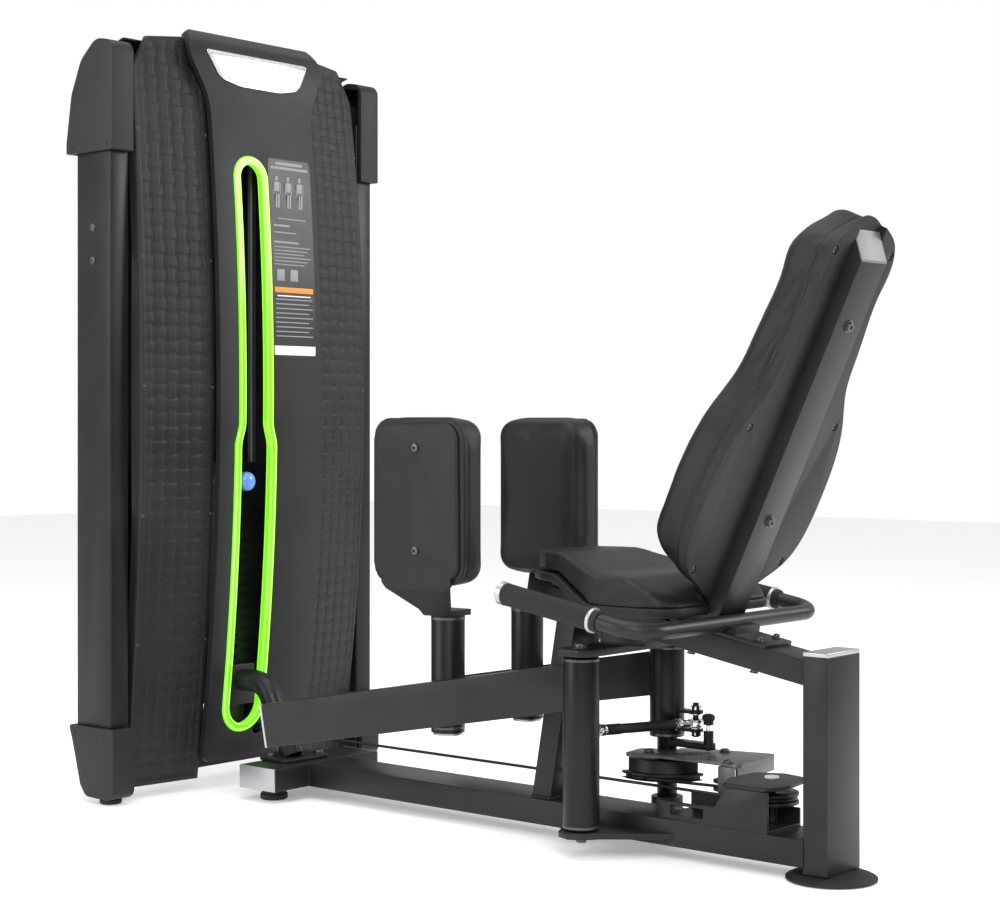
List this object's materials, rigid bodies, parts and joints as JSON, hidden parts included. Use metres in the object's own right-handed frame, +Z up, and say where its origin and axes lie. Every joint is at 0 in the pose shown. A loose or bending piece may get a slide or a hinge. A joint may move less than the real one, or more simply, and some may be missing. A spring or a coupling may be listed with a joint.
{
  "type": "hip abductor machine",
  "caption": "Seated hip abductor machine: weight tower with a plate stack, cable drive, two swinging thigh pad arms, reclined seat and side handles.",
  "frame": {"origin": "on the floor, under the middle of the machine's box", "axes": "+Z up, +X from the weight tower towards the rear post, +Y to the user's right"},
  "size_m": [1.7694, 0.82, 1.698],
  "materials": {
    "charcoal_coat": "satin powder coat",
    "moulding": "fine grained moulding",
    "weave": "moulded basket weave",
    "neon_trim": "glossy neon green",
    "badge_silver": "brushed badge",
    "silver_cap": "silver paint",
    "chrome": "polished",
    "rubber": "matte",
    "vinyl": "grained vinyl",
    "grip": "ribbed foam",
    "plates": "painted weight plates",
    "cable": "coated cable",
    "knob_blue": "glossy",
    "wheel": "nylon"
  },
  "bodies": {
    "frame": {"base_tube": "charcoal_coat", "cross_tube": "charcoal_coat", "rear_post": "charcoal_coat", "end_caps": "silver_cap", "rubber_mounts": "rubber", "seat_beam": "charcoal_coat", "seat_support": "charcoal_coat", "pivot_head_plate": "charcoal_coat", "pivot_feet": "charcoal_coat", "link_tube": "charcoal_coat", "link_flange": "charcoal_coat", "tower_uprights": "charcoal_coat", "tower_frame": "charcoal_coat", "guide_rods": "chrome", "weight_plates": "plates", "front_center_panel": "moulding", "slot_trim": "neon_trim", "badge_plate": "badge_silver", "weave_panel_left": "weave", "weave_panel_right": "weave", "upper_side_covers": "moulding", "lower_side_covers": "moulding", "rear_cover": "moulding", "pulley_brackets": "charcoal_coat", "rear_pulley_cover": "moulding", "guide_plate": "silver_cap", "drive_cable": "cable", "seat_base": "moulding", "seat_cushion": "vinyl", "seat_plate": "charcoal_coat", "back_tube": "charcoal_coat", "back_shell": "moulding", "back_cushion": "vinyl", "handlebar": "charcoal_coat", "hand_grips": "grip", "grip_rings": "silver_cap", "frame_bolts": "chrome", "lift_cable": "cable"},
    "left_arm": {"left_beam": "charcoal_coat", "left_pad_post": "charcoal_coat", "left_arm_caps": "silver_cap", "left_sleeve": "charcoal_coat"},
    "right_arm": {"right_beam": "charcoal_coat", "right_pad_post": "charcoal_coat", "right_arm_caps": "silver_cap", "right_sleeve": "charcoal_coat", "drive_cam": "charcoal_coat", "cam_cable": "cable"},
    "left_pad": {"left_pad_frame": "moulding", "left_pad_cushion": "vinyl"},
    "right_pad": {"right_pad_frame": "moulding", "right_pad_cushion": "vinyl"},
    "tie_rod": {"tie_rod": "chrome"},
    "lifted_stack": {"lifted_stack": "plates"},
    "selector_pin": {"selector_pin": "knob_blue"},
    "range_pin": {"range_pin": "chrome"},
    "top_pulley": {"top_pulley": "wheel"},
    "bottom_pulley": {"bottom_pulley": "wheel"},
    "rear_pulley": {"rear_pulley": "wheel"},
    "guide_pulley": {"guide_pulley": "wheel"}
  },
  "joints": [
    {"name": "right_arm_swing", "type": "hinge", "parent": "frame", "child": "right_arm", "pos_m": [0.33135, 0.14, 0.2], "axis": [0, 0, -1], "range_deg": [0, 45]},
    {"name": "left_arm_swing", "type": "hinge", "parent": "frame", "child": "left_arm", "pos_m": [0.33135, -0.14, 0.2], "axis": [0, 0, 1], "range_deg": [0, 45.2]},
    {"name": "right_pad_swivel", "type": "hinge", "parent": "right_arm", "child": "right_pad", "pos_m": [-0.01931, 0.12559, 0.434], "axis": [0, 0, -1], "range_deg": [0, 180]},
    {"name": "left_pad_swivel", "type": "hinge", "parent": "left_arm", "child": "left_pad", "pos_m": [-0.01931, -0.12559, 0.434], "axis": [0, 0, 1], "range_deg": [0, 180]},
    {"name": "tie_rod_swing", "type": "hinge", "parent": "right_arm", "child": "tie_rod", "pos_m": [0.39592, 0.14747, 0.226], "axis": [0, 0, 1], "range_deg": [0, 41]},
    {"name": "stack_lift", "type": "slide", "parent": "frame", "child": "lifted_stack", "axis": [0, 0, 1], "range_m": [0, 0.073], "deforming": ["lift_cable"]},
    {"name": "selector_pin_slide", "type": "slide", "parent": "lifted_stack", "child": "selector_pin", "axis": [1, 0, 0], "range_m": [0, 0.07]},
    {"name": "range_pin_slide", "type": "slide", "parent": "right_arm", "child": "range_pin", "axis": [0, 0, -1], "range_m": [0, 0.008]},
    {"name": "top_pulley_spin", "type": "hinge", "parent": "frame", "child": "top_pulley", "pos_m": [-0.82565, -0.047, 1.45], "axis": [0, 1, 0], "range_deg": [-97.9, 97.9]},
    {"name": "bottom_pulley_spin", "type": "hinge", "parent": "frame", "child": "bottom_pulley", "pos_m": [-0.82565, 0, 0.167], "axis": [0, 1, 0], "range_deg": [-97.9, 97.9]},
    {"name": "rear_pulley_spin", "type": "hinge", "parent": "frame", "child": "rear_pulley", "pos_m": [0.63835, 0.045, 0.123], "axis": [0, 0, 1], "range_deg": [-95.7, 95.7]},
    {"name": "guide_pulley_spin", "type": "hinge", "parent": "frame", "child": "guide_pulley", "pos_m": [0.50335, 0.0926, 0.123], "axis": [0, 0, 1], "range_deg": [-239.2, 239.2]}
  ],
  "couplings": [
    {"joint": "left_arm_swing", "follows": "right_arm_swing", "ratio": 1},
    {"joint": "tie_rod_swing", "follows": "right_arm_swing", "ratio": 0.9},
    {"joint": "stack_lift", "follows": "right_arm_swing", "m_per_rad": 0.092},
    {"joint": "top_pulley_spin", "follows": "right_arm_swing", "ratio": -2.0909},
    {"joint": "bottom_pulley_spin", "follows": "right_arm_swing", "ratio": -2.0909},
    {"joint": "rear_pulley_spin", "follows": "right_arm_swing", "ratio": 2.0444},
    {"joint": "guide_pulley_spin", "follows": "right_arm_swing", "ratio": -5.1111}
  ]
}
